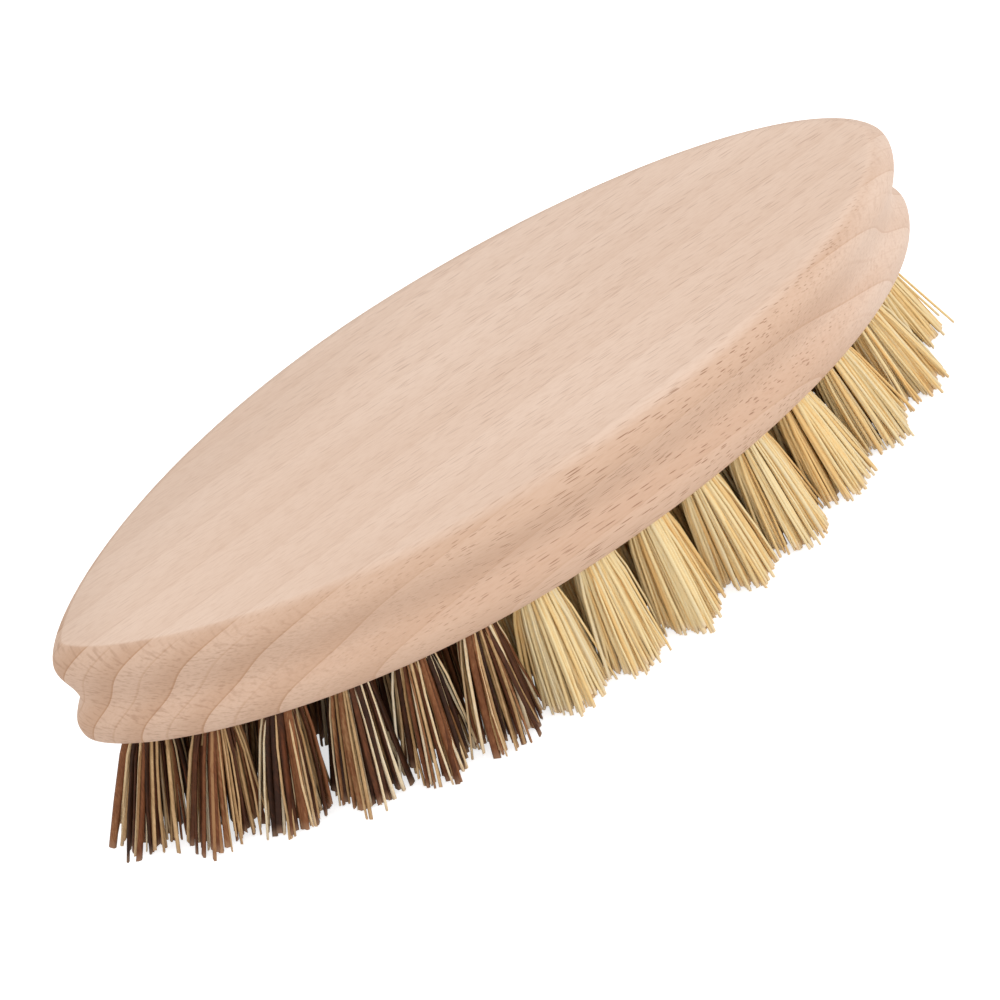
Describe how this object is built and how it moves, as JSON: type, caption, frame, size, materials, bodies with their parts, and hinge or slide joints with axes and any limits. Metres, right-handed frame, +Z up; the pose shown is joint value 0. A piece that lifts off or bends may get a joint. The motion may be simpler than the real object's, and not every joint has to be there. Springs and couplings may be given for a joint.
{
  "type": "vegetable brush",
  "caption": "Oval wooden scrubbing brush with a bead-and-cove edge, drilled and set with fanned bundles of dark union and pale tampico fibre.",
  "frame": {"origin": "centre of the trimmed fibre face, on which the brush stands", "axes": "+X along the brush towards its blunt, pale-fibred end; +Y across it; +Z up from the trimmed fibres to the block's flat top"},
  "size_m": [0.1386, 0.0522, 0.038],
  "materials": {
    "beech": "raw sanded beech, unvarnished",
    "union_fibre": "dark brown bassine mixed with cream tampico, trimmed flat",
    "tampico_fibre": "pale straw-coloured agave fibre, trimmed flat",
    "anchor_wire": "flat galvanised steel wire"
  },
  "bodies": {
    "root": {"beech_block": "beech", "wire_anchors": "anchor_wire", "union_tuft_01": "union_fibre", "union_tuft_02": "union_fibre", "union_tuft_03": "union_fibre", "union_tuft_04": "union_fibre", "union_tuft_05": "union_fibre", "union_tuft_06": "union_fibre", "union_tuft_07": "union_fibre", "union_tuft_08": "union_fibre", "union_tuft_09": "union_fibre", "union_tuft_10": "union_fibre", "union_tuft_11": "union_fibre", "union_tuft_12": "union_fibre", "union_tuft_13": "union_fibre", "union_tuft_14": "union_fibre", "union_tuft_15": "union_fibre", "union_tuft_16": "union_fibre", "union_tuft_17": "union_fibre", "union_tuft_18": "union_fibre", "union_tuft_19": "union_fibre", "tampico_tuft_01": "tampico_fibre", "tampico_tuft_02": "tampico_fibre", "tampico_tuft_03": "tampico_fibre", "tampico_tuft_04": "tampico_fibre", "tampico_tuft_05": "tampico_fibre", "tampico_tuft_06": "tampico_fibre", "tampico_tuft_07": "tampico_fibre", "tampico_tuft_08": "tampico_fibre", "tampico_tuft_09": "tampico_fibre", "tampico_tuft_10": "tampico_fibre", "tampico_tuft_11": "tampico_fibre", "tampico_tuft_12": "tampico_fibre", "tampico_tuft_13": "tampico_fibre", "tampico_tuft_14": "tampico_fibre", "tampico_tuft_15": "tampico_fibre", "tampico_tuft_16": "tampico_fibre", "tampico_tuft_17": "tampico_fibre", "tampico_tuft_18": "tampico_fibre", "tampico_tuft_19": "tampico_fibre", "tampico_tuft_20": "tampico_fibre", "tampico_tuft_21": "tampico_fibre", "tampico_tuft_22": "tampico_fibre", "tampico_tuft_23": "tampico_fibre", "tampico_tuft_24": "tampico_fibre", "tampico_tuft_25": "tampico_fibre", "tampico_tuft_26": "tampico_fibre", "tampico_tuft_27": "tampico_fibre", "tampico_tuft_28": "tampico_fibre", "tampico_tuft_29": "tampico_fibre", "tampico_tuft_30": "tampico_fibre", "tampico_tuft_31": "tampico_fibre", "tampico_tuft_32": "tampico_fibre", "tampico_tuft_33": "tampico_fibre", "tampico_tuft_34": "tampico_fibre", "tampico_tuft_35": "tampico_fibre"}
  },
  "joints": []
}
